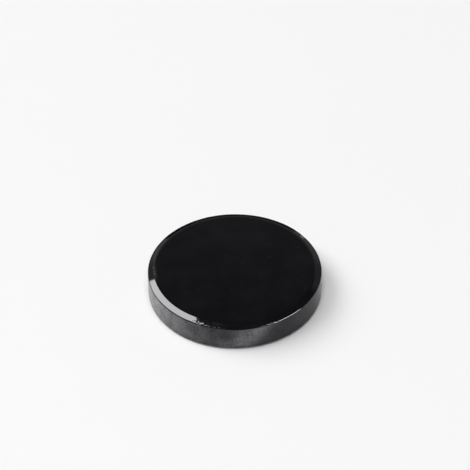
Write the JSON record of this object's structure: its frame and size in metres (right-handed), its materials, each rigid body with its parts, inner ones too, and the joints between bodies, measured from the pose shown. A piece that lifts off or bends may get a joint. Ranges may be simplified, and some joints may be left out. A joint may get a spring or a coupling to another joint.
{
  "type": "disc magnet",
  "caption": "Round disc magnet with a glossy black coat and a shallow bevel round both flat faces, for holding on steel or in a round pocket.",
  "frame": {"origin": "centre of the lower face, which the disc rests on", "axes": "+Z is the disc's axis, from the lower face to the upper face; X and Y are any two directions across the disc"},
  "size_m": [0.0335, 0.0334, 0.0057],
  "materials": {
    "black_coat": "gloss black epoxy coat, smooth on the faces and bevels, finely grained on the side wall"
  },
  "bodies": {
    "root": {"magnet_disc": "black_coat"}
  },
  "joints": []
}
